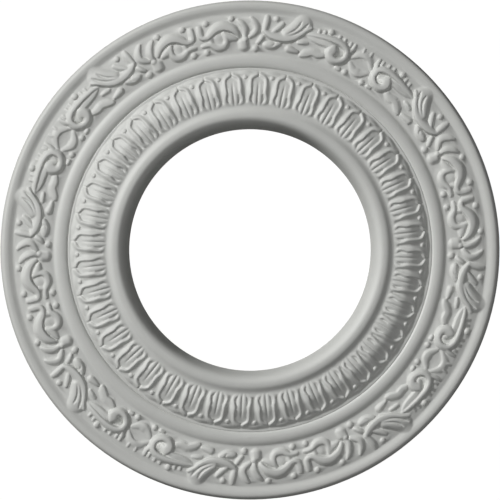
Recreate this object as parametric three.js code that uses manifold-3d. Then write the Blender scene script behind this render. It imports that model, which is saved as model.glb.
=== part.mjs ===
// A moulded ceiling rose: a flat-backed ring that is cast in one piece.
// Millimetres, +Z up. The origin is the centre of the flat back, and the carved face looks along +Z.
// From the outside in, the face has a rounded rim, a frieze of scrolls and leaves, a bead, a band of
// forty tongue leaves and a smooth lip round the open bore.

import * as THREE from 'three';
import Module from 'manifold-3d';
import { mergeGeometries, mergeVertices } from 'three/addons/utils/BufferGeometryUtils.js';

const wasm = await Module();
wasm.setup();
const weldDistance = 1e-3;

// Driving sizes of the turned mouldings: radii from the axis and heights above the flat back.
const outerRadius = 128.5;
const boreRadius = 62.1;
const projection = 16;
const edgeHeight = 4.2;
const friezeHeight = 6.2;
const rimCrest = { r: 124.6, z: 6.9 };
const rimInnerFoot = { r: 121.5, z: friezeHeight };
const beadOuterFoot = { r: 100.7, z: friezeHeight };
const beadCrest = { r: 95.9, z: 9.3 };
const beadInnerFoot = { r: 93.4, z: 8.3 };
const leafBandFoot = { r: 91.9, z: 8.3 };
const leafBandCrest = { r: 79.7, z: 13.8 };
const lipOuterFoot = { r: 73.6, z: 12.7 };
const lipCrest = { r: 67.9, z: projection };
const lipInnerFoot = { r: 64.7, z: 12.6 };

// The band of tongue leaves. Half a leaf is one step of the turned mouldings on both sides of it.
const leafCount = 40;
const turnSteps = 2 * leafCount;
const leafPitch = 360 / leafCount;
const firstLeafAngle = 2.94;
const leafBorderHeight = 0.9;
const leafFieldHeight = -0.1;
const leafTongueHeight = 0.5;
const leafGrooveHeight = -0.1;
const leafValleyHeight = -0.7;
const leafBandFallPower = 1.3;

// The frieze repeats four times, each time as a mirrored pair of halves about its shield.
const friezeRepeats = 4;
const firstShieldAngle = 30.9;
const halfRepeat = 45;
const meetOverlap = 0.3;
const beadRadius = 1.8;
const beadHeight = 1.4;
const beadSides = 5;

// Plan angles run clockwise from +Y, seen from above the carved face.
function planPoint(angle, radius) {
  const turn = THREE.MathUtils.degToRad(angle);
  return new THREE.Vector2(radius * Math.sin(turn), radius * Math.cos(turn));
}

// Quarter of an ellipse from an upright tangent at the foot to a level one at the crest.
function quarterRound(foot, crest, steps) {
  const points = [];
  for (let i = 0; i <= steps; i += 1) {
    const turn = (Math.PI / 2) * (i / steps);
    const r = crest.r + (foot.r - crest.r) * Math.cos(turn);
    const z = foot.z + (crest.z - foot.z) * Math.sin(turn);
    points.push(new THREE.Vector2(r, z));
  }
  return points;
}

function profilePoint({ r, z }) {
  return new THREE.Vector2(r, z);
}

function signedVolume(positions, index) {
  const a = new THREE.Vector3();
  const b = new THREE.Vector3();
  const c = new THREE.Vector3();
  let volume = 0;
  for (let i = 0; i < index.length; i += 3) {
    a.fromArray(positions, index[i] * 3);
    b.fromArray(positions, index[i + 1] * 3);
    c.fromArray(positions, index[i + 2] * 3);
    volume += a.dot(b.cross(c)) / 6;
  }
  return volume;
}

// A boolean solid from a closed geometry whose faces all turn one way, outwards or inwards.
function toSolid(geometry) {
  geometry.deleteAttribute('normal');
  geometry.deleteAttribute('uv');
  const merged = mergeVertices(geometry, weldDistance);
  const positions = merged.attributes.position.array;
  const index = Array.from(merged.index.array);
  if (signedVolume(positions, index) < 0) {
    index.reverse();
  }
  return new wasm.Manifold(new wasm.Mesh({
    numProp: 3,
    vertProperties: new Float32Array(positions),
    triVerts: new Uint32Array(index),
  }));
}

function toGeometry(solid) {
  const mesh = solid.getMesh();
  const geometry = new THREE.BufferGeometry();
  geometry.setAttribute('position', new THREE.BufferAttribute(mesh.vertProperties, 3));
  geometry.setIndex(new THREE.BufferAttribute(mesh.triVerts, 1));
  geometry.computeVertexNormals();
  return geometry;
}

// Triangle corners of the strip between two closed loops that have the same number of points.
function strip(outer, inner) {
  return outer.flatMap((point, i) => {
    const next = (i + 1) % outer.length;
    return [point, outer[next], inner[next], point, inner[next], inner[i]];
  });
}

// Triangle corners of a fan that fills a loop from its first point.
function fan(loop) {
  const corners = [];
  for (let i = 1; i < loop.length - 1; i += 1) {
    corners.push(loop[0], loop[i], loop[i + 1]);
  }
  return corners;
}

// A closed body through a row of loops, with a fan over each end.
function loft(loops) {
  const corners = [...fan(loops[0].toReversed()), ...fan(loops.at(-1))];
  for (let i = 1; i < loops.length; i += 1) {
    corners.push(...strip(loops[i - 1], loops[i]));
  }
  return new THREE.BufferGeometry().setFromPoints(corners);
}

// Everything but the leaf band: from the band's outer edge over the bead, the frieze's ground and the
// rim, along the flat back, up the bore and over the lip to the band's inner edge.
function turnedMouldings() {
  const path = [
    profilePoint(leafBandFoot),
    profilePoint(beadInnerFoot),
    ...quarterRound(beadOuterFoot, beadCrest, 2).reverse(),
    profilePoint(rimInnerFoot),
    ...quarterRound({ r: outerRadius, z: edgeHeight }, rimCrest, 2).reverse(),
    new THREE.Vector2(outerRadius, 0),
    new THREE.Vector2(boreRadius, 0),
    ...quarterRound(lipInnerFoot, lipCrest, 2),
    ...quarterRound(lipOuterFoot, lipCrest, 2).reverse().slice(1),
  ];
  const geometry = new THREE.LatheGeometry(path, turnSteps, -THREE.MathUtils.degToRad(firstLeafAngle));
  return geometry.rotateX(Math.PI / 2).toNonIndexed();
}

// Height above the back of the curved surface that the leaves are carved on.
function bandHeight(radius) {
  if (radius < leafBandCrest.r) {
    const inward = (leafBandCrest.r - radius) / (leafBandCrest.r - lipOuterFoot.r);
    return THREE.MathUtils.lerp(leafBandCrest.z, lipOuterFoot.z, inward);
  }
  const outward = (radius - leafBandCrest.r) / (leafBandFoot.r - leafBandCrest.r);
  const fall = Math.cos((Math.PI / 2) * Math.min(outward, 1) ** leafBandFallPower);
  return THREE.MathUtils.lerp(leafBandFoot.z, leafBandCrest.z, fall);
}

// The right half of each outline of a leaf, from its tip round to the middle of its base:
// degrees from the leaf's middle, radius, and height above the curved surface.
const side = leafPitch / 2;
const leafOutlines = [
  [
    [0, leafBandFoot.r, 0], [side, leafBandFoot.r, 0], [side, 88.2, 0],
    [side, 86, leafValleyHeight], [side, lipOuterFoot.r, 0], [0, lipOuterFoot.r, 0],
  ],
  [
    [0, 90.3, leafBorderHeight], [1.8, 88.9, leafBorderHeight], [3.0, 86.4, leafBorderHeight],
    [3.1, 79.7, leafBorderHeight], [3.3, 75.3, leafBorderHeight], [0, 74.3, leafBorderHeight],
  ],
  [
    [0, 88.2, leafFieldHeight], [1.4, 87.4, leafFieldHeight], [2.1, 86, leafFieldHeight],
    [2.0, 79.9, leafFieldHeight], [2.4, 76.6, leafFieldHeight], [0, 74.9, leafFieldHeight],
  ],
  [
    [0, 86, leafGrooveHeight], [0.9, 85.3, leafTongueHeight], [1.4, 83.8, leafTongueHeight],
    [1.3, 79.7, leafTongueHeight], [1.5, 76.9, leafTongueHeight], [0, 75.2, leafGrooveHeight],
  ],
];

// The whole closed loop of one outline, on the leaf with the given number.
function leafLoop(half, number) {
  const left = half.slice(1, -1).reverse().map(([turn, r, height]) => [-turn, r, height]);
  return [...half, ...left].map(([turn, r, height]) => {
    const plan = planPoint(firstLeafAngle + leafPitch * (number + turn / leafPitch), r);
    return new THREE.Vector3(plan.x, plan.y, bandHeight(r) + height);
  });
}

// The surface of the forty leaves, each with a raised border, a sunk field and a grooved tongue.
function leafBand() {
  const corners = [];
  for (let number = 0; number < leafCount; number += 1) {
    const loops = leafOutlines.map((half) => leafLoop(half, number));
    for (let i = 1; i < loops.length; i += 1) {
      corners.push(...strip(loops[i - 1], loops[i]));
    }
    corners.push(...fan(loops.at(-1)));
  }
  return new THREE.BufferGeometry().setFromPoints(corners);
}

// The ring with its leaf band: the two surfaces meet along the band's edges and close each other.
function leafedRing() {
  const mouldings = turnedMouldings();
  mouldings.deleteAttribute('normal');
  mouldings.deleteAttribute('uv');
  return mergeGeometries([mouldings, leafBand()]);
}

// A tapering ridge on the frieze's ground along a route of [degrees, radius, half width, height].
function ridge(route, place) {
  const spine = route.map(([turn, r]) => planPoint(place(turn), r));
  return loft(route.map(([, , halfWidth, height], i) => {
    const before = spine[Math.max(i - 1, 0)];
    const after = spine[Math.min(i + 1, spine.length - 1)];
    const across = after.clone().sub(before).normalize().rotateAround(new THREE.Vector2(), Math.PI / 2);
    const left = spine[i].clone().addScaledVector(across, halfWidth);
    const right = spine[i].clone().addScaledVector(across, -halfWidth);
    return [
      new THREE.Vector3(left.x, left.y, friezeHeight),
      new THREE.Vector3(right.x, right.y, friezeHeight),
      new THREE.Vector3(spine[i].x, spine[i].y, friezeHeight + height),
    ];
  }));
}

function bead(turn, radius, place) {
  const middle = planPoint(place(turn), radius);
  const geometry = new THREE.ConeGeometry(beadRadius, beadHeight, beadSides);
  geometry.rotateX(Math.PI / 2);
  return geometry.translate(middle.x, middle.y, friezeHeight + beadHeight / 2);
}

// Routes of the frieze in one half repeat: degrees from the shield, radius, half width, height.
const volute = [
  [15.4, 113.2, 0.7, 0.8], [12.4, 114.6, 1.6, 1.2], [8.6, 115.4, 2.0, 1.6], [5.2, 113.6, 2.3, 1.9],
  [4.2, 109.6, 2.3, 2.1], [5.2, 106.6, 2.3, 2.2], [7.2, 105.4, 2.2, 2.3], [8.9, 107.4, 2.1, 2.5],
  [8.4, 110.2, 1.7, 2.6], [7.2, 109.6, 1.0, 2.2],
];
const bowlLeaf = [
  [15.2, 118.2, 0.6, 0.8], [16.8, 113.4, 1.8, 1.5], [19.3, 110.0, 2.1, 1.8], [22.8, 108.7, 2.2, 2.1],
  [26.2, 110.3, 2.0, 1.9], [27.3, 114.2, 1.7, 1.5], [26.6, 119.6, 1.3, 1.0],
];
const bowlRibs = [
  [[16.9, 119.2, 0.9, 0.8], [18.6, 114.6, 1.4, 1.4], [22.6, 110.9, 0.9, 1.6]],
  [[19.0, 119.6, 1.1, 0.8], [20.4, 115.6, 1.4, 1.3], [23.2, 111.9, 0.9, 1.3]],
  [[22.3, 117.2, 1.1, 0.8], [23.7, 113.4, 1.4, 1.1], [25.6, 111.4, 0.8, 1.1]],
];
const hangingLobes = [
  [[10.2, 107.2, 1.5, 0.6], [13.8, 106.3, 2.0, 1.0], [16.6, 102.9, 0.9, 1.2]],
  [[17.2, 103.7, 0.9, 0.9], [19.4, 104.2, 1.7, 1.4], [20.9, 106.6, 1.0, 1.2]],
  [[22.5, 106.4, 1.0, 1.2], [24.3, 104.3, 1.7, 1.5], [27.0, 103.9, 0.9, 1.1]],
  [[27.2, 108.8, 1.1, 1.2], [29.2, 105.5, 0.9, 1.2]],
];
const palmette = [
  [[32.3, 109.2, 1.2, 1.8], [32.6, 105.3, 2.8, 2.0], [32.5, 101.6, 1.6, 1.3]],
  [[32.2, 108.3, 1.4, 1.3], [31.9, 113.2, 2.1, 1.6], [34.2, 118.6, 0.7, 0.7]],
  [[31.2, 108.8, 0.9, 1.0], [29.3, 113.6, 2.2, 1.5], [30.6, 119.4, 0.8, 0.7]],
];
const scroll = [
  [33.5, 108.8, 0.9, 1.2], [35.0, 112.4, 1.7, 1.6], [37.4, 114.6, 2.1, 1.8], [40.2, 112.6, 2.0, 1.9],
  [42.6, 110.6, 1.7, 1.9], [44.1, 113.6, 1.5, 1.4], [44.1, 118.4, 0.9, 0.8],
];
const crescent = [
  [36.2, 108.0, 0.9, 1.3], [37.2, 105.1, 1.6, 1.8], [39.2, 103.8, 1.8, 1.9], [41.4, 105.9, 1.7, 1.8],
  [halfRepeat + meetOverlap, 107.4, 1.3, 1.0],
];
const blade = [[34.4, 107.6, 0.9, 0.9], [38.2, 111, 1.6, 1.1]];
const crest = [[-meetOverlap, 115.4, 1.5, 0.9], [3.4, 113.9, 1.2, 0.9]];
const shieldHalf = [[-meetOverlap, 105.4, 2.7, 1.2], [2.6, 108.2, 1.1, 0.8]];
const beadPlaces = [
  [2.8, 102.9], [10.4, 119.1], [24.3, 119.0], [29.4, 102.9], [35.5, 118.8], [42.0, 117.8], [43.2, 102.9],
];

// Half a repeat of the frieze, on one hand or the other of its shield.
function friezeHalf(shieldAngle, hand) {
  const place = (turn) => shieldAngle + hand * turn;
  const routes = [
    volute, bowlLeaf, ...bowlRibs, ...hangingLobes, ...palmette, scroll, crescent, blade, crest, shieldHalf,
  ];
  return [
    ...routes.map((route) => ridge(route, place)),
    ...beadPlaces.map(([turn, radius]) => bead(turn, radius, place)),
  ];
}

function ceilingRose() {
  let solid = toSolid(leafedRing());
  for (let i = 0; i < friezeRepeats; i += 1) {
    const shieldAngle = firstShieldAngle + 2 * halfRepeat * i;
    for (const piece of [...friezeHalf(shieldAngle, 1), ...friezeHalf(shieldAngle, -1)]) {
      solid = solid.add(toSolid(piece));
    }
  }
  const primer = new THREE.MeshStandardMaterial({ color: 0xc9cac5, roughness: 0.5, metalness: 0 });
  const mesh = new THREE.Mesh(toGeometry(solid), primer);
  mesh.name = 'ceiling_rose';
  return mesh;
}

const group = new THREE.Group();
group.add(ceilingRose());

export default group;
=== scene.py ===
# A primed ceiling rose, lying face up. Sizes below are in millimetres unless a name says otherwise,
# and turns are degrees clockwise as seen from above. The mesh itself is in metres.
import math

import bpy
import numpy as np
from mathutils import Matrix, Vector


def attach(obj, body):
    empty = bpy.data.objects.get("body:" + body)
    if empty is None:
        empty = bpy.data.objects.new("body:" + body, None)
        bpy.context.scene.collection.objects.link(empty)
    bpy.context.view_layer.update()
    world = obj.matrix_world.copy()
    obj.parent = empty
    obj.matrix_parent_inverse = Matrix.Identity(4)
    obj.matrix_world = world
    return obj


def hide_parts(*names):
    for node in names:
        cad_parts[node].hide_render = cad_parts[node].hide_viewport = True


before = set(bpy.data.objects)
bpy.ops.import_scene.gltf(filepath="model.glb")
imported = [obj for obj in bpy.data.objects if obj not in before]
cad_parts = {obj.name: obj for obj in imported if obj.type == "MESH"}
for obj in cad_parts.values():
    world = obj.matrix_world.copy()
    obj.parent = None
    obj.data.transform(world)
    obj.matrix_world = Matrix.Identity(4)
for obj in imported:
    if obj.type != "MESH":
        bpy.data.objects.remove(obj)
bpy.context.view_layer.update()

metresPerMm = 0.001

# Turned mouldings from the bore to the rim: radius and height above the flat back
mouldingProfile = [
    # bore and rounded lip
    [62.1, 0], [62.5, 3.6], [63.0, 7.2], [63.7, 10.8], [64.5, 13.4], [65.3, 14.75], [66.1, 15.45],
    [67.0, 15.87], [68.0, 16.0], [69.0, 15.95], [69.8, 15.78], [70.5, 15.48], [71.2, 15.0],
    [71.9, 14.56], [72.6, 14.28],
    # hollow, then the ground of the leaf band, which falls away outwards
    [73.3, 14.13], [74.0, 14.1], [75.0, 14.2], [76.5, 14.33], [78.0, 14.4], [79.2, 14.4],
    [80.2, 14.33], [81.0, 14.2], [82.0, 13.93], [83.0, 13.5], [84.0, 12.95], [85.2, 12.32],
    [86.2, 11.8], [87.3, 11.27], [88.4, 10.75], [89.4, 10.22], [90.1, 9.67],
    # step down to the crease at the bead's inner foot
    [90.8, 8.8], [91.35, 8.22], [91.8, 8.05], [92.7, 8.06], [93.05, 7.7],
    # bead
    [93.5, 8.22], [94.2, 8.55], [95.2, 8.78], [95.9, 8.83], [96.7, 8.8], [97.5, 8.67],
    [98.0, 8.53], [98.6, 8.3], [99.1, 8.03], [99.55, 7.7], [100.0, 7.38], [100.5, 7.2],
    # ground of the frieze
    [101.1, 7.15], [101.8, 7.15], [104, 7.15], [108, 7.08], [112.5, 6.9], [115, 6.7], [118, 6.3],
    [120, 5.88], [121.1, 5.68],
    # rim, and the outer edge with its slight draft
    [121.8, 5.76], [122.6, 6.02], [123.5, 6.32], [124.5, 6.45], [125.3, 6.43], [126.0, 6.28],
    [126.6, 5.94], [127.0, 5.4], [127.3, 4.6], [127.6, 3.5], [127.9, 2.2], [128.44, 0],
]

friezeSettings = {
    "shieldTurn": 30.9,       # the first of the four shields
    "halfRepeat": 45,
    "margin": 3,              # carved past each mirror line, then folded back
    "blend": 0.4,             # how softly forms run into each other
    "fullness": 1.4,          # above 1 the forms are flatter on top and steeper at the foot
}

leafSettings = {
    "firstTurn": 2.94,
    "count": 40,
    "blend": 0.12,
    "fullness": 1.0,
}

carvingSettings = {
    "routeStep": 0.7,         # between the points of a smoothed route
    "formReach": 1.3,         # how far past its half width a form is worked out
    "grooveReach": 2.0,
    "reachMargin": 0.5,
    "usualTips": (0.8, 0.8),  # how far the rounded ends stand past a form's route
    "grooveTips": (1.0, 1.0),
    "beadBlend": 0.7,         # a bead runs into its ground a little less softly than a form does
    "beadFlank": 3,           # how steeply a bead's height falls away past its edge
}


def planPoint(turn, radius):
    angle = np.radians(turn)
    return np.stack([radius * np.sin(angle), radius * np.cos(angle)], -1)


def smoothRoute(points):
    # a smooth curve through the points; widths and heights are carried along
    points = np.array(points, float)
    nodes = np.concatenate([planPoint(points[:, 0], points[:, 1]), points[:, 2:]], 1)
    ends = np.concatenate([2 * nodes[:1] - nodes[1:2], nodes, 2 * nodes[-1:] - nodes[-2:-1]])
    rows = []
    for i in range(len(nodes) - 1):
        a, b, c, d = ends[i:i + 4]
        count = max(1, math.ceil(np.hypot(*(c - b)[:2]) / carvingSettings["routeStep"]))
        for t in np.arange(count) / count:
            bend = (2 * a - 5 * b + 4 * c - d) * t * t + (3 * b - a - 3 * c + d) * t ** 3
            rows.append(0.5 * (2 * b + (c - a) * t + bend))
    rows.append(nodes[-1])
    return np.array(rows)


def strokeHeight(places, route, tips, fullness):
    # the stroke's height at each place: rounded over its width, and negative outside it
    best = np.full(places.shape[:-1], -1.0)
    last = len(route) - 2
    for i in range(last + 1):
        along = route[i + 1, :2] - route[i, :2]
        length = np.hypot(*along) + 1e-9
        along = along / length
        offset = places - route[i, :2]
        travel = offset @ along
        across = offset[..., 1] * along[0] - offset[..., 0] * along[1]
        share = np.clip(travel / length, 0, 1)
        beyond = travel - share * length
        row = route[i, 2:] + share[..., None] * (route[i + 1, 2:] - route[i, 2:])
        width = np.where(across > 0, row[..., 0], row[..., 1])
        tip = np.minimum(row[..., 0], row[..., 1])
        if i == 0:
            tip = np.where(beyond < 0, tips[0], tip)
        if i == last:
            tip = np.where(beyond > 0, tips[1], tip)
        side = np.hypot(across / width, beyond / tip)
        inside = np.cos(np.pi / 2 * np.minimum(side, 1) ** fullness)
        crown = np.where(side < 1, inside, (1 - side) * np.pi / 2 * fullness)
        best = np.maximum(best, row[..., 2] * crown)
    return best


def nearbyPart(turns, radii, route, reach):
    # the part of the grid that a stroke can touch
    turn = np.degrees(np.arctan2(route[:, 0], route[:, 1]))
    radius = np.hypot(route[:, 0], route[:, 1])
    turnReach = np.degrees(reach / radius.min())
    columns = np.flatnonzero((turns >= turn.min() - turnReach) & (turns <= turn.max() + turnReach))
    rows = np.flatnonzero((radii >= radius.min() - reach) & (radii <= radius.max() + reach))
    if not len(columns) or not len(rows):
        return None
    return slice(rows[0], rows[-1] + 1), slice(columns[0], columns[-1] + 1)


def smoothMax(a, b, blend):
    return np.maximum(a, b) + np.maximum(blend - np.abs(a - b), 0) ** 2 / (4 * blend)


def carve(turns, radii, forms, grooves, beads, settings):
    # raised forms first, then beads, then what the carver cut back
    places = planPoint(turns[None, :], radii[:, None])
    blend = settings["blend"]
    margin = carvingSettings["reachMargin"]
    relief = np.zeros(places.shape[:2])
    for form in forms:
        route = smoothRoute(form["route"])
        part = nearbyPart(turns, radii, route, route[:, 2:4].max() * carvingSettings["formReach"] + margin)
        if part:
            fullness = form.get("fullness", settings["fullness"])
            tips = form.get("tips", carvingSettings["usualTips"])
            height = strokeHeight(places[part], route, tips, fullness)
            relief[part] = smoothMax(relief[part], np.maximum(height, -blend), blend)
    for turn, radius, size, height in beads:
        offset = places - planPoint(np.array(turn), np.array(radius))
        side = np.hypot(offset[..., 0], offset[..., 1]) / size
        flank = carvingSettings["beadFlank"] * (1 - side)
        crown = np.where(side < 1, np.sqrt(np.maximum(1 - side * side, 0)), flank)
        relief = smoothMax(relief, np.maximum(height * crown, -blend), blend * carvingSettings["beadBlend"])
    cut = np.zeros(places.shape[:2])
    for groove in grooves:
        route = smoothRoute([[turn, radius, width, width, depth] for turn, radius, width, depth in groove])
        part = nearbyPart(turns, radii, route, route[:, 2].max() * carvingSettings["grooveReach"] + margin)
        if part:
            depth = route[:, 4].max()
            share = strokeHeight(places[part], route, carvingSettings["grooveTips"], 1) / depth
            share = np.clip(share, 0, 1)
            cut[part] = np.maximum(cut[part], depth * np.sin(np.pi / 2 * share) ** 2)
    return relief, cut


# The frieze, half a repeat. Each row is turn, radius, half width on the left and on the right of the
# way the stroke runs, and height.
friezeForms = [
    # stem, then the volute it rolls into
    {"route": [[16.0, 113.8, .8, .8, .5], [14.5, 114.3, 1.2, 1.6, 1.3], [13.0, 114.5, 1.4, 2.0, 1.9],
               [11.0, 114.7, 1.4, 2.4, 2.4], [9.0, 114.8, 1.5, 2.7, 2.6], [7.4, 114.7, 1.5, 2.8, 2.6],
               [6.0, 114.0, 1.4, 2.8, 2.5], [5.0, 112.5, 1.3, 3.0, 2.4], [4.7, 110.6, 1.3, 3.0, 2.4],
               [4.8, 108.6, 1.4, 2.8, 2.5], [5.5, 106.9, 1.7, 2.6, 2.6], [6.6, 105.9, 2.2, 2.5, 2.6],
               [7.8, 106.0, 3.0, 2.5, 2.6], [8.7, 107.3, 4.2, 2.5, 2.6], [8.95, 109.2, 5.2, 2.7, 2.6],
               [8.6, 111.0, 5.0, 2.6, 2.5], [8.2, 111.8, 4.4, 2.4, 2.3]], "tips": (.8, 1.0)},
    # the second layer of the stem
    {"route": [[9.0, 111.5, 4.5, 1.3, 1.6], [11.0, 111.5, 4.5, 1.3, 1.6], [12.6, 111.6, 4.0, 1.3, 1.3],
               [14.2, 112.2, 3.0, 1.2, 1.0], [15.4, 113.0, 1.0, .8, .5]]},
    # crest over the shield, the lobe beside it, and the shield
    {"route": [[-2.4, 112.2, 1.4, 1.1, .7], [-1.2, 113.9, 2.8, 1.2, .9], [0, 114.5, 3.2, 1.3, 1.1],
               [1.2, 113.9, 2.8, 1.2, .9], [2.4, 112.2, 1.4, 1.1, .7], [3.1, 110.9, 1.0, .9, .4]]},
    {"route": [[1.1, 118.2, .7, .9, .5], [1.0, 116.4, .9, 1.0, .9]]},
    {"route": [[3.65, 118.0, .6, 1.3, .7], [3.7, 116.5, .8, 1.6, 1.1], [3.8, 114.8, 1.0, 1.8, 1.4],
               [4.2, 112.9, 1.3, 2.0, 1.7]], "tips": (.6, .8)},
    {"route": [[-2.9, 108.4, 1.3, .9, .5], [-2.0, 106.6, 2.2, 1.2, .8], [-1.1, 105.2, 3.0, 1.4, 1.0],
               [0, 104.6, 3.6, 1.5, 1.2], [1.1, 105.2, 3.0, 1.4, 1.0], [2.0, 106.6, 2.2, 1.2, .8],
               [2.9, 108.4, 1.3, .9, .5]]},
    # lens under the volute
    {"route": [[4.7, 102.8, 1.4, 1.2, 1.2], [5.6, 103.0, 1.2, 1.1, 1.0]], "tips": (1.0, 1.0)},
    # bowl leaf: its body, and the rim that turns up to the right
    {"route": [[17.4, 118.9, 5.2, 5.0, 1.3], [18.2, 116.2, 5.0, 4.8, 1.9], [19.6, 113.4, 4.4, 4.4, 2.2],
               [21.2, 111.2, 3.6, 4.0, 2.3]], "tips": (1.4, 1.4), "fullness": 1.8},
    {"route": [[15.3, 117.4, 1.5, .9, 1.3], [16.0, 116.1, 2.0, 1.1, 1.8], [16.8, 114.5, 2.2, 1.2, 2.1],
               [17.6, 112.6, 2.6, 1.3, 2.2], [18.6, 110.7, 3.2, 1.3, 2.4], [19.7, 109.3, 4.2, 1.3, 2.5],
               [20.9, 108.5, 4.4, 1.4, 2.6], [22.1, 108.2, 4.4, 1.4, 2.6], [23.4, 108.3, 4.2, 1.4, 2.6],
               [24.8, 108.9, 4.0, 1.4, 2.5], [25.9, 109.9, 3.4, 1.4, 2.3], [26.8, 111.2, 2.4, 1.3, 2.0],
               [27.3, 112.4, 1.8, 1.2, 1.6]]},
    # leaflet in the bowl, and the lobe on the right of it
    {"route": [[22.5, 117.0, 1.2, 1.2, .9], [23.1, 115.2, 1.7, 1.6, 1.3], [24.0, 113.2, 1.8, 1.6, 1.6],
               [24.9, 111.6, 1.4, 1.4, 1.8]]},
    {"route": [[26.6, 120.0, 1.2, 1.5, .8], [26.7, 117.6, 1.6, 2.2, 1.3], [26.9, 114.8, 1.6, 2.1, 1.5],
               [27.1, 112.4, 1.3, 1.6, 1.6]]},
    # pieces under the bowl and the stem
    {"route": [[15.4, 109.4, 1.2, .9, .6], [16.6, 109.0, 1.6, 1.1, 1.2], [17.8, 108.6, 1.2, .9, 1.0]]},
    {"route": [[10.2, 105.8, 2.4, 1.1, 1.0], [11.4, 104.8, 3.2, 1.2, 1.2], [12.3, 104.7, 3.4, 1.2, 1.2],
               [13.3, 104.9, 3.4, 1.2, 1.2], [14.3, 103.9, 3.4, 1.2, 1.3], [15.4, 102.9, 3.2, 1.2, 1.4],
               [16.3, 102.6, 1.9, 1.1, 1.3]], "tips": (1.2, 1.1)},
    {"route": [[17.3, 103.8, 1.1, .9, .9], [18.5, 104.0, 1.7, 1.5, 1.4], [19.7, 104.4, 2.1, 2.0, 1.6],
               [20.2, 104.6, 2.0, 2.0, 1.6]], "tips": (.8, 1.4)},
    {"route": [[22.6, 106.6, 1.4, 1.3, 1.2], [23.6, 105.5, 2.1, 1.9, 1.6], [24.8, 104.9, 2.5, 2.3, 1.7],
               [26.0, 104.9, 2.3, 2.1, 1.6], [26.8, 105.0, 1.4, 1.2, 1.2]], "tips": (.8, .8)},
    {"route": [[27.4, 109.4, 1.4, 1.4, 1.0], [27.8, 107.9, 1.6, 1.5, 1.5], [28.3, 106.6, 1.5, 1.3, 1.4],
               [28.8, 105.7, 1.2, 1.0, .9]]},
    # palmette: two leaves and the round bud
    {"route": [[30.7, 118.8, .9, 1.2, .9], [30.2, 117.2, 1.0, 2.2, 1.3], [29.6, 114.8, 1.1, 2.7, 1.4],
               [29.4, 112.4, 1.3, 2.7, 1.5], [29.9, 110.4, 1.9, 1.7, 1.4], [31.0, 108.8, 1.5, 1.1, 1.0]]},
    {"route": [[34.0, 117.6, .8, 1.2, .8], [33.4, 116.0, 1.0, 2.4, 1.4], [32.8, 114.0, 1.0, 2.8, 1.6],
               [32.4, 112.0, 1.0, 2.8, 1.8], [32.2, 110.2, 1.1, 2.2, 1.6], [32.3, 108.8, 1.3, 1.6, 1.2]]},
    {"route": [[32.6, 103.6, 3.0, 3.0, 1.4], [32.7, 106.0, 3.0, 2.9, 1.4]],
     "tips": (2.2, 2.2), "fullness": 1.3},
    # scroll, which ends as the upright lobe on the mirror line
    {"route": [[33.8, 109.2, 1.4, 1.0, 1.1], [34.4, 110.7, 2.2, 1.2, 1.8], [35.5, 112.3, 3.4, 1.4, 2.2],
               [36.8, 113.3, 4.0, 1.5, 2.3], [38.1, 113.7, 4.4, 1.5, 2.4], [39.3, 113.2, 4.1, 1.5, 2.4],
               [40.4, 112.1, 3.5, 1.4, 2.3], [41.3, 110.9, 2.9, 1.4, 2.2], [42.1, 110.1, 2.3, 1.3, 2.1],
               [43.1, 110.0, 2.0, 1.3, 2.0], [43.9, 110.9, 2.1, 1.3, 1.8], [44.1, 112.6, 2.3, 1.3, 1.6],
               [44.1, 114.6, 2.3, 1.3, 1.4], [44.0, 116.8, 1.8, 1.2, .8]], "fullness": 1.7},
    # blade beside the scroll, then the crescent with its dished inside
    {"route": [[34.5, 107.9, .9, 1.0, .8], [35.5, 108.6, 1.7, 2.1, 1.2], [36.5, 109.3, 2.0, 2.6, 1.4],
               [37.3, 110.6, 1.6, 2.0, 1.3]], "tips": (.7, 1.0)},
    {"route": [[37.9, 111.6, 1.1, 1.8, 1.1], [37.6, 109.8, 1.2, 2.4, 1.5], [37.4, 107.8, 1.3, 2.2, 1.6],
               [37.6, 106.0, 1.7, 2.2, 1.6], [38.2, 104.8, 2.1, 2.3, 1.6], [39.2, 104.2, 2.5, 2.2, 1.6],
               [40.2, 104.4, 2.4, 2.0, 1.6], [41.0, 105.2, 2.2, 1.7, 1.6], [41.8, 106.2, 1.7, 1.4, 1.6],
               [42.7, 106.6, 1.5, 1.4, 1.5], [43.5, 106.6, 1.4, 1.3, 1.2], [44.1, 106.5, 1.2, 1.1, .8]]},
    {"route": [[41.4, 106.6, 1.8, 1.6, 1.1], [41.5, 108.0, 2.2, 1.7, 1.0], [41.5, 109.4, 2.4, 1.7, 1.2]],
     "fullness": 1.0},
    {"route": [[39.5, 107.0, 3.0, 3.0, .6], [39.6, 109.0, 3.0, 3.0, .7]],
     "tips": (2.0, 2.6), "fullness": 1.2},
]
# Scallops along the outer edge of the stem, steeper on the right: turn and outer radius
stemScallops = [[4.8, 117.7], [6.5, 118.3], [8.0, 118.5], [11.9, 118.2], [13.3, 117.9]]
for turn, radius in stemScallops:
    friezeForms.append({"route": [[turn, radius, .6, 1.2, .6], [turn, radius - 1.6, .7, 1.3, .9]],
                        "tips": (.8, 1.2)})

# Beads of the frieze: turn, radius, size, height
friezeBeads = [
    [2.8, 102.9, 1.6, 1.4], [10.3, 118.9, 1.7, 1.3], [24.2, 118.9, 1.6, 1.1], [29.3, 102.9, 1.8, 1.4],
    [35.5, 118.6, 1.6, 1.1], [42.0, 117.7, 1.7, 1.2], [43.1, 102.9, 1.7, 1.4], [32.1, 107.5, 1.7, 1.7],
]
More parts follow.
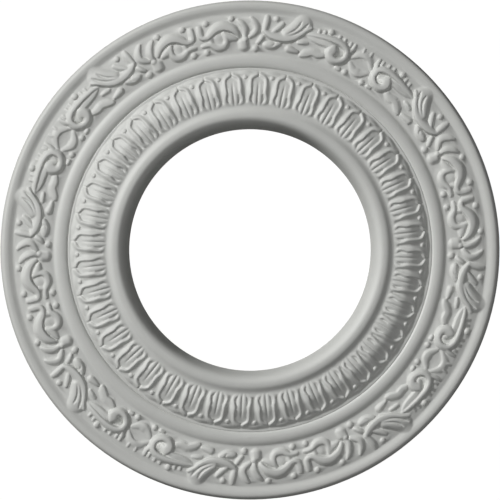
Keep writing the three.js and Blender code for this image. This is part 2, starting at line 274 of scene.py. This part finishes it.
# Grooves: turn, radius, half width, depth
friezeGrooves = [
    # curl of the volute
    [[5.45, 112.6, .5, .2], [5.3, 110.8, .6, .4], [5.55, 108.9, .7, .7], [6.2, 107.9, .7, .8],
     [7.0, 108.0, .7, .8], [7.4, 108.7, .5, .45], [7.0, 109.4, .5, .2]],
    # two flutes down the bowl leaf
    [[16.4, 118.9, .7, .4], [16.9, 117.0, .85, .85], [17.9, 114.2, .8, .6], [19.6, 111.7, .7, .35],
     [21.6, 109.9, .5, .1]],
    [[18.1, 119.1, .7, .4], [18.4, 117.0, .85, .85], [19.4, 114.2, .8, .6], [21.2, 111.6, .6, .2]],
    # curved cut in the piece under the bowl
    [[25.2, 108.2, .6, .1], [24.4, 107.4, .7, .25], [24.1, 106.2, .7, .3], [24.4, 104.9, .7, .25],
     [25.3, 104.3, .6, .1]],
]

# One leaf of the inner band, its right half. The strokes run inwards, so left is the leaf's outer side.
leafForms = [
    # border
    {"route": [[0.25, 89.8, 1.5, 1.2, .95], [1.0, 89.1, 1.5, 1.2, 1.15], [1.8, 88.3, 1.4, 1.2, 1.2],
               [2.4, 87.2, 1.4, 1.2, 1.2], [2.6, 85.6, 1.5, 1.1, 1.15], [2.65, 83.0, 1.6, 1.1, 1.1],
               [2.6, 81.0, 1.7, 1.1, 1.1], [2.7, 79.6, 1.6, 1.1, 1.0], [3.15, 77.8, 1.4, 1.0, .85],
               [3.3, 76.3, 1.3, 1.0, .65], [2.8, 74.8, 1.2, 1.0, .4], [1.8, 74.0, 1.0, 1.0, .2]],
     "tips": (.6, .8)},
    # lobe beside the middle groove
    {"route": [[.75, 86.0, 1.6, .9, .1], [.85, 82, 1.7, 1.1, .3], [.9, 78.5, 1.6, 1.1, .45],
               [.9, 75.5, 1.3, 1.1, .5], [.8, 73.9, 1.0, .9, .25]]},
    # bar between the tips of two leaves
    {"route": [[2.9, 90.9, .7, .9, .4], [4.5, 91.0, .9, 1.4, .6], [6.1, 90.9, .7, .9, .4]], "tips": (.9, .9)},
]
leafBeads = [[4.5, 88.1, 1.15, .8]]
leafGrooves = [
    # middle groove, the nick at the tip, and the eye beside the border's inner curl
    [[0, 84.5, .5, .1], [0, 82.0, .5, .22], [0, 78, .5, .25], [0, 75.0, .45, .12]],
    [[0, 90.8, .7, .35], [0, 88.9, .6, .5]],
    [[1.9, 78.6, .8, .2], [2.15, 76.7, .9, .4], [1.9, 75.4, .8, .2]],
    # the hollow between two leaves
    [[4.5, 86.6, 1.2, .2], [4.5, 82, 1.4, .45], [4.5, 77.5, 1.4, .7], [4.5, 75.8, 1.3, .5],
     [4.5, 74.9, 1.0, .15]],
]


def friezeRelief(turnStep, radii):
    # half a repeat with a margin on both sides, folded back over the two mirror lines
    margin = round(friezeSettings["margin"] / turnStep)
    half = round(friezeSettings["halfRepeat"] / turnStep)
    turns = np.arange(-margin, half + margin + 1) * turnStep
    folded = []
    for field in carve(turns, radii, friezeForms, friezeGrooves, friezeBeads, friezeSettings):
        body = field[:, margin:margin + half + 1].copy()
        body[:, :margin + 1] = np.maximum(body[:, :margin + 1], field[:, margin::-1])
        body[:, -margin - 1:] = np.maximum(body[:, -margin - 1:], field[:, :-margin - 2:-1])
        folded.append(body)
    body = folded[0] - folded[1]
    repeat = np.concatenate([body[:, :-1], body[:, :0:-1]], 1)
    return np.tile(repeat, (1, round(180 / friezeSettings["halfRepeat"])))


def leafRelief(turnStep, radii):
    # one leaf's width of the band; both neighbours carve into it too
    pitch = 360 / leafSettings["count"]
    columns = round(pitch / turnStep)
    turns = (friezeSettings["shieldTurn"] - leafSettings["firstTurn"] + np.arange(columns) * turnStep) % pitch
    turns = np.where(turns > pitch / 2, turns - pitch, turns)
    order = np.argsort(turns)
    raised = cut = 0
    for shift in (0, pitch, -pitch):
        for hand in (1, -1):
            seen = hand * (turns[order] + shift)
            fields = carve(seen[::hand], radii, leafForms, leafGrooves, leafBeads, leafSettings)
            raised = np.maximum(raised, fields[0][:, ::hand])
            cut = np.maximum(cut, fields[1][:, ::hand])
    cell = np.empty((len(radii), columns))
    cell[:, order] = raised - cut
    return np.tile(cell, (1, leafSettings["count"]))


ringSettings = {
    "columns": 2400,          # mesh columns round the ring: a multiple of 8 halves and of 40 leaves
    "carvedBand": [72.6, 121.6],
    "rowSpacing": 0.28,       # between rows where there is carving
    "plainSpacing": 0.6,      # and where the surface is only turned
    "boreEnd": 67,            # inside this, and outside edgeStart, rows stand at the profile's own points
    "edgeStart": 127.5,
    "triangles": 190000,      # what the finished mesh is brought down to
    "sharpAngle": 60,         # edges that turn by more stay crisp
}


def rowRadii():
    # radii of the mesh rows, close together where there is carving
    inner, outer = ringSettings["carvedBand"]
    spacing = ringSettings["rowSpacing"]
    plain = ringSettings["plainSpacing"]
    boreEnd = ringSettings["boreEnd"]
    edgeStart = ringSettings["edgeStart"]
    bore = [radius for radius, height in mouldingProfile if radius < boreEnd]
    lip = np.arange(boreEnd, inner, plain)
    carved = np.arange(inner, outer, spacing)
    rim = np.arange(outer, edgeStart, plain)
    edge = [radius for radius, height in mouldingProfile if radius > edgeStart]
    return np.unique(np.round(np.concatenate([bore, lip, carved, rim, edge]), 4))


def smoothProfile(radii):
    # the moulding profile as one smooth curve, by Hermite pieces with limited slopes
    keys = np.array(mouldingProfile, float)
    gap = np.diff(keys[:, 0])
    slope = np.diff(keys[:, 1]) / gap
    inner = np.where(slope[1:] * slope[:-1] > 0, 2 / (1 / (slope[1:] + 1e-12) + 1 / (slope[:-1] + 1e-12)), 0)
    tangent = np.concatenate([slope[:1], inner, slope[-1:]])
    i = np.clip(np.searchsorted(keys[:, 0], radii, side="right") - 1, 0, len(gap) - 1)
    t = (radii - keys[i, 0]) / gap[i]
    start = (2 * t ** 3 - 3 * t ** 2 + 1) * keys[i, 1] + (t ** 3 - 2 * t ** 2 + t) * gap[i] * tangent[i]
    return start + (3 * t ** 2 - 2 * t ** 3) * keys[i + 1, 1] + (t ** 3 - t ** 2) * gap[i] * tangent[i + 1]


def makeRing():
    columns = ringSettings["columns"]
    turnStep = 360 / columns
    radii = rowRadii()
    heights = smoothProfile(radii)[:, None] + friezeRelief(turnStep, radii) + leafRelief(turnStep, radii)
    turns = friezeSettings["shieldTurn"] + np.arange(columns) * turnStep
    top = planPoint(turns[None, :], radii[:, None])
    top = np.concatenate([top, heights[..., None]], -1)
    rows = len(top)
    # the face from the bore's foot to the rim's foot, closed by the flat back
    index = np.arange(rows * columns).reshape(rows, columns)
    nextRow = np.roll(index, -1, axis=0)
    right = np.roll(index, -1, axis=1)
    across = np.roll(nextRow, -1, axis=1)
    quads = np.stack([index, nextRow, across, right], -1).reshape(-1, 4)
    mesh = bpy.data.meshes.new("ceilingRose")
    mesh.vertices.add(rows * columns)
    mesh.vertices.foreach_set("co", top.reshape(-1) * metresPerMm)
    mesh.loops.add(quads.size)
    mesh.loops.foreach_set("vertex_index", quads.reshape(-1))
    mesh.polygons.add(len(quads))
    mesh.polygons.foreach_set("loop_start", np.arange(len(quads)) * 4)
    mesh.update(calc_edges=True)
    ring = bpy.data.objects.new("rose_casting", mesh)
    bpy.context.scene.collection.objects.link(ring)
    print("ring grid:", len(quads) * 2, "triangles")
    thin = ring.modifiers.new("thin out", "DECIMATE")
    thin.ratio = ringSettings["triangles"] / (len(quads) * 2)
    thin.use_collapse_triangulate = True
    graph = bpy.context.evaluated_depsgraph_get()
    finished = bpy.data.meshes.new_from_object(ring.evaluated_get(graph))
    ring.modifiers.clear()
    ring.data = finished
    bpy.data.meshes.remove(mesh)
    finished.shade_smooth()
    finished.set_sharp_from_angle(angle=math.radians(ringSettings["sharpAngle"]))
    print("ring finished:", len(finished.polygons), "triangles")
    return ring


def toLinear(hexColour):
    values = [int(hexColour[i:i + 2], 16) / 255 for i in (1, 3, 5)]
    return [v / 12.92 if v <= 0.04045 else ((v + 0.055) / 1.055) ** 2.4 for v in values] + [1]


def addNode(tree, kind, settings=None, inputs=None, links=None):
    node = tree.nodes.new(kind)
    for name, value in (settings or {}).items():
        setattr(node, name, value)
    for name, value in (inputs or {}).items():
        node.inputs[name].default_value = value
    for name, source in (links or {}).items():
        tree.links.new(source, node.inputs[name])
    return node


# Rigid polyurethane, cast in a mould and sprayed with a satin primer: an even, slightly warm pale grey
# with a soft sheen, faintly darker where the spray pooled, and a grain that only shows close up.
primerSettings = {
    "colour": "#c7c8c5",
    "pooledColour": "#c0c1be",
    "poolSize": 9.0,
    "poolDetail": 3.0,
    "poolRoughness": 0.55,
    "grainSize": 0.35,        # drawn coarser than real spray, which is too fine to show
    "grainDetail": 2.0,
    "grainDepth": 0.012,
    "grainStrength": 0.5,
    "roughness": [0.54, 0.62],
    "ior": 1.49,
}


def primedPolyurethane():
    material = bpy.data.materials.new("primedPolyurethane")
    material.use_nodes = True
    tree = material.node_tree
    shader = tree.nodes["Principled BSDF"]
    place = addNode(tree, "ShaderNodeTexCoord")
    pools = addNode(tree, "ShaderNodeTexNoise", inputs={
        "Scale": 1 / (primerSettings["poolSize"] * metresPerMm),
        "Detail": primerSettings["poolDetail"],
        "Roughness": primerSettings["poolRoughness"],
    }, links={"Vector": place.outputs["Object"]})
    colour = addNode(tree, "ShaderNodeMix", {"data_type": "RGBA"}, links={"Factor": pools.outputs["Fac"]})
    colour.inputs["A"].default_value = toLinear(primerSettings["pooledColour"])
    colour.inputs["B"].default_value = toLinear(primerSettings["colour"])
    grain = addNode(tree, "ShaderNodeTexNoise", inputs={
        "Scale": 1 / (primerSettings["grainSize"] * metresPerMm),
        "Detail": primerSettings["grainDetail"],
    }, links={"Vector": place.outputs["Object"]})
    low, high = primerSettings["roughness"]
    gloss = addNode(tree, "ShaderNodeMapRange", inputs={"To Min": low, "To Max": high},
                    links={"Value": pools.outputs["Fac"]})
    bump = addNode(tree, "ShaderNodeBump", inputs={
        "Strength": primerSettings["grainStrength"],
        "Distance": primerSettings["grainDepth"] * metresPerMm,
    }, links={"Height": grain.outputs["Fac"]})
    tree.links.new(colour.outputs["Result"], shader.inputs["Base Color"])
    tree.links.new(gloss.outputs["Result"], shader.inputs["Roughness"])
    tree.links.new(bump.outputs["Normal"], shader.inputs["Normal"])
    shader.inputs["IOR"].default_value = primerSettings["ior"]
    return material


# Matt studio paper. It glows for the camera alone, so it looks white and throws little light back up
# on the casting.
floorSettings = {
    "colour": "#6e6e6c",
    "glowColour": "#ffffff",
    "glow": 0.9,
    "roughness": 0.9,
    "size": 3000.0,
    "drop": 0.4,              # below the flat back
}


def makeFloor():
    half = floorSettings["size"] / 2 * metresPerMm
    drop = -floorSettings["drop"] * metresPerMm
    mesh = bpy.data.meshes.new("studioFloor")
    corners = [(-half, -half, drop), (half, -half, drop), (half, half, drop), (-half, half, drop)]
    mesh.from_pydata(corners, [], [(0, 1, 2, 3)])
    floor = bpy.data.objects.new("studio_floor", mesh)
    bpy.context.scene.collection.objects.link(floor)
    paper = bpy.data.materials.new("whitePaper")
    paper.use_nodes = True
    shader = paper.node_tree.nodes["Principled BSDF"]
    shader.inputs["Base Color"].default_value = toLinear(floorSettings["colour"])
    shader.inputs["Roughness"].default_value = floorSettings["roughness"]
    seen = addNode(paper.node_tree, "ShaderNodeLightPath")
    glow = addNode(paper.node_tree, "ShaderNodeMath", {"operation": "MULTIPLY"},
                   links={0: seen.outputs["Is Camera Ray"]})
    glow.inputs[1].default_value = floorSettings["glow"]
    shader.inputs["Emission Color"].default_value = toLinear(floorSettings["glowColour"])
    paper.node_tree.links.new(glow.outputs["Value"], shader.inputs["Emission Strength"])
    mesh.materials.append(paper)


# A low key light on the upper left and an even fill from all round
lightSettings = {
    "keyTurn": 302.0,
    "keyElevation": 26.0,
    "keyStrength": 3.05,
    "topStrength": 0.71,
    "softness": 12.0,         # degrees across
    "fill": 0.065,
    "backdrop": 1.0,          # what the camera sees past the floor; it doesn't light the casting
    "fillColour": "#fbfbfc",
    "keyColour": "#fffffe",
}


def makeLamp(name, turn, elevation, strength):
    sun = bpy.data.lights.new(name, "SUN")
    sun.energy = strength
    sun.angle = math.radians(lightSettings["softness"])
    sun.color = toLinear(lightSettings["keyColour"])[:3]
    sun.use_shadow = False    # the light is so even that it throws none
    lamp = bpy.data.objects.new(name, sun)
    turn = math.radians(turn)
    rise = math.radians(elevation)
    towards = Vector((math.sin(turn) * math.cos(rise), math.cos(turn) * math.cos(rise), math.sin(rise)))
    lamp.rotation_mode = "QUATERNION"
    lamp.rotation_quaternion = towards.to_track_quat("Z", "Y")
    bpy.context.scene.collection.objects.link(lamp)


def makeLights():
    makeLamp("keyLight", lightSettings["keyTurn"], lightSettings["keyElevation"],
             lightSettings["keyStrength"])
    makeLamp("topLight", 0, 90, lightSettings["topStrength"])
    world = bpy.data.worlds.new("studio")
    world.use_nodes = True
    background = world.node_tree.nodes["Background"]
    background.inputs["Color"].default_value = toLinear(lightSettings["fillColour"])
    seen = addNode(world.node_tree, "ShaderNodeLightPath")
    strength = addNode(world.node_tree, "ShaderNodeMapRange", inputs={
        "To Min": lightSettings["fill"], "To Max": lightSettings["backdrop"],
    }, links={"Value": seen.outputs["Is Camera Ray"]})
    world.node_tree.links.new(strength.outputs["Result"], background.inputs["Strength"])
    bpy.context.scene.world = world


cameraSettings = {
    "distance": 1000.0,       # from the flat back, straight above it
    "focusPlane": 998.0,      # from the lens
    "imageWidth": 256.8,      # what the picture takes in across at that plane
    "sensorWidth": 36.0,
}


def makeCamera():
    data = bpy.data.cameras.new("camera")
    data.sensor_width = cameraSettings["sensorWidth"]
    data.lens = cameraSettings["sensorWidth"] * cameraSettings["focusPlane"] / cameraSettings["imageWidth"]
    camera = bpy.data.objects.new("camera", data)
    camera.location = (0, 0, cameraSettings["distance"] * metresPerMm)
    bpy.context.scene.collection.objects.link(camera)
    bpy.context.scene.camera = camera


makeCamera()
ring = makeRing()
ring.data.materials.clear()
ring.data.materials.append(primedPolyurethane())
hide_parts("ceiling_rose")
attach(ring, "root")
makeFloor()
makeLights()
bpy.context.scene.view_settings.view_transform = "Standard"
print("pieces, floor, lights and camera are in place")
